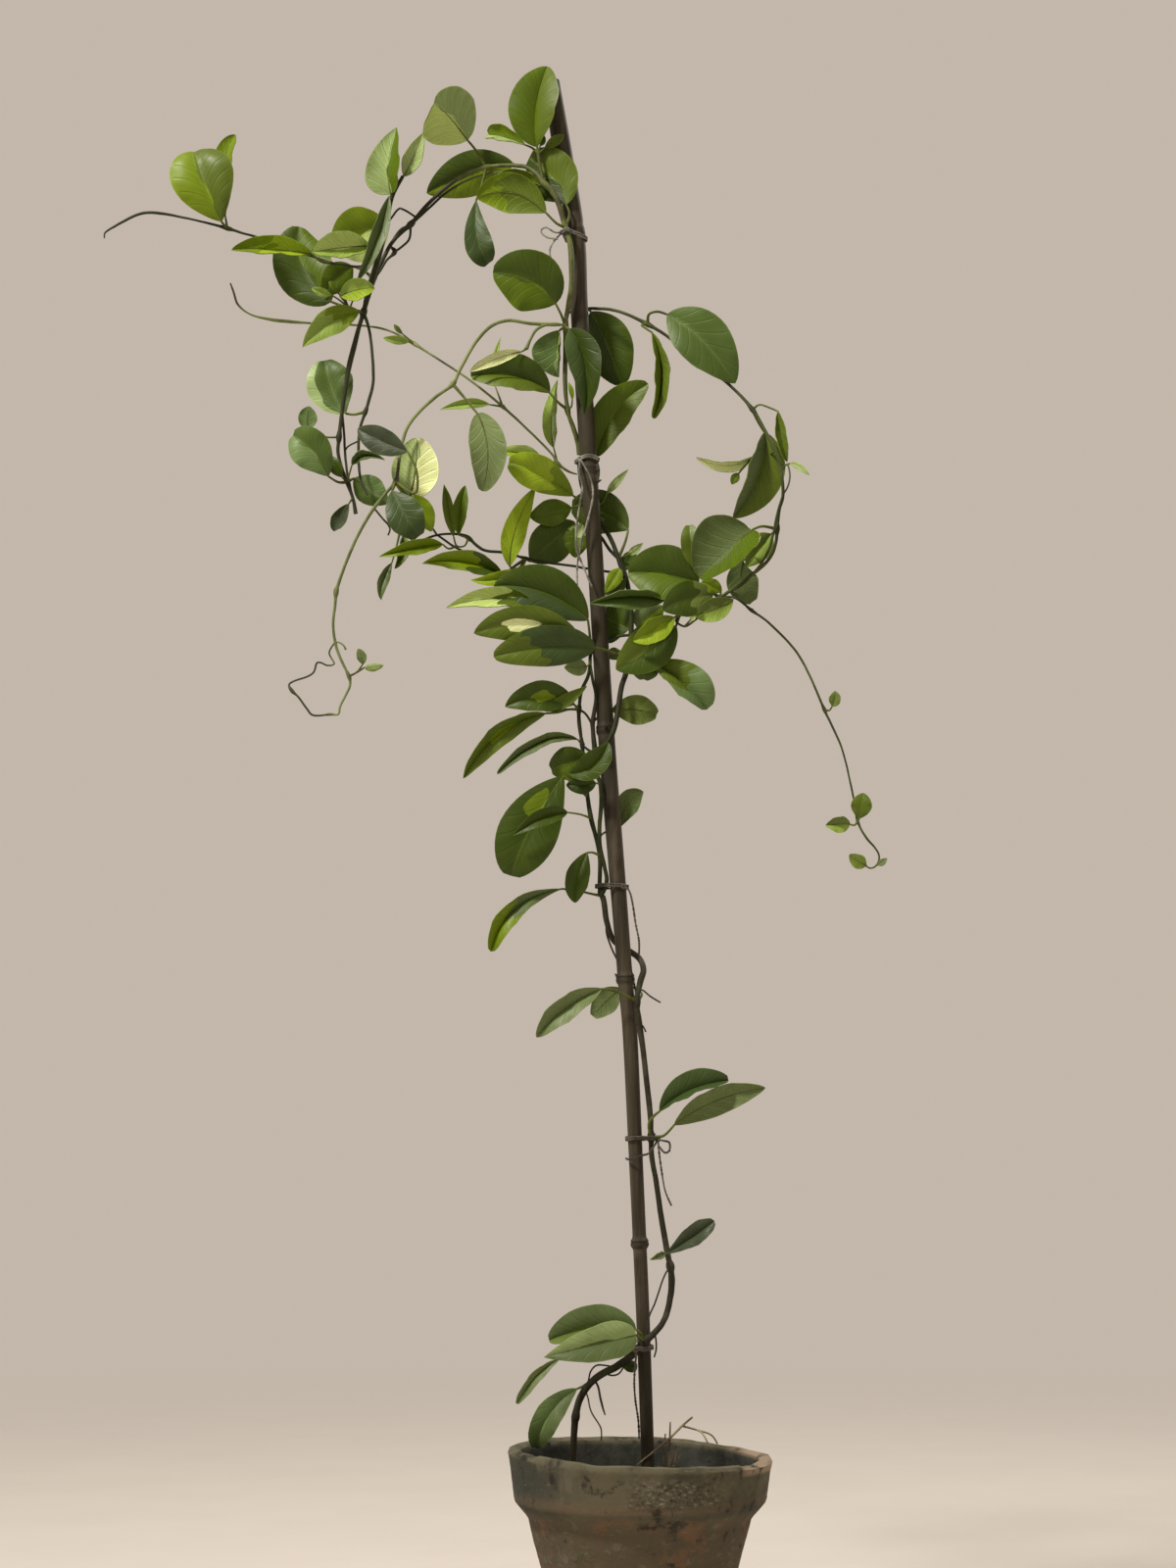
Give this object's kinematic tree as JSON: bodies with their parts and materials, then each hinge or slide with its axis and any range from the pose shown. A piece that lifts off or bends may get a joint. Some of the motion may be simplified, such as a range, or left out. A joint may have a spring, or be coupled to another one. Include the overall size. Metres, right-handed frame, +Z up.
{
  "type": "potted vine",
  "caption": "Flowering vine trained up a bamboo cane in an old clay pot, its leafy crown arching to the left and a loose shoot looping right.",
  "frame": {"origin": "on the ground under the middle of the pot's base", "axes": "+Z up along the cane, +Y away from the picture's camera, +X to its right"},
  "size_m": [0.631, 0.203, 1.3134],
  "materials": {
    "clay": "old unglazed clay, stained grey-brown with green moss",
    "earth": "dark crumbly potting soil",
    "bamboo": "dark weathered bamboo",
    "bark": "grey-brown woody stem with olive leaves",
    "leaf_green": "glossy evergreen leaves on green stems",
    "string": "dark weathered string",
    "straw": "dry pale plant litter"
  },
  "bodies": {
    "root": {"pot": "clay", "soil": "earth", "stake": "bamboo", "lower_stem": "bark", "middle_stems": "leaf_green", "crown_stem": "leaf_green", "pale_shoot": "leaf_green", "thin_shoot": "leaf_green", "right_loop": "leaf_green", "tie_low": "string", "tie_mid": "string", "tie_joint": "string", "tie_neck": "string", "tie_top": "string", "dry_stalk": "straw", "grass_tuft": "straw"}
  },
  "joints": []
}
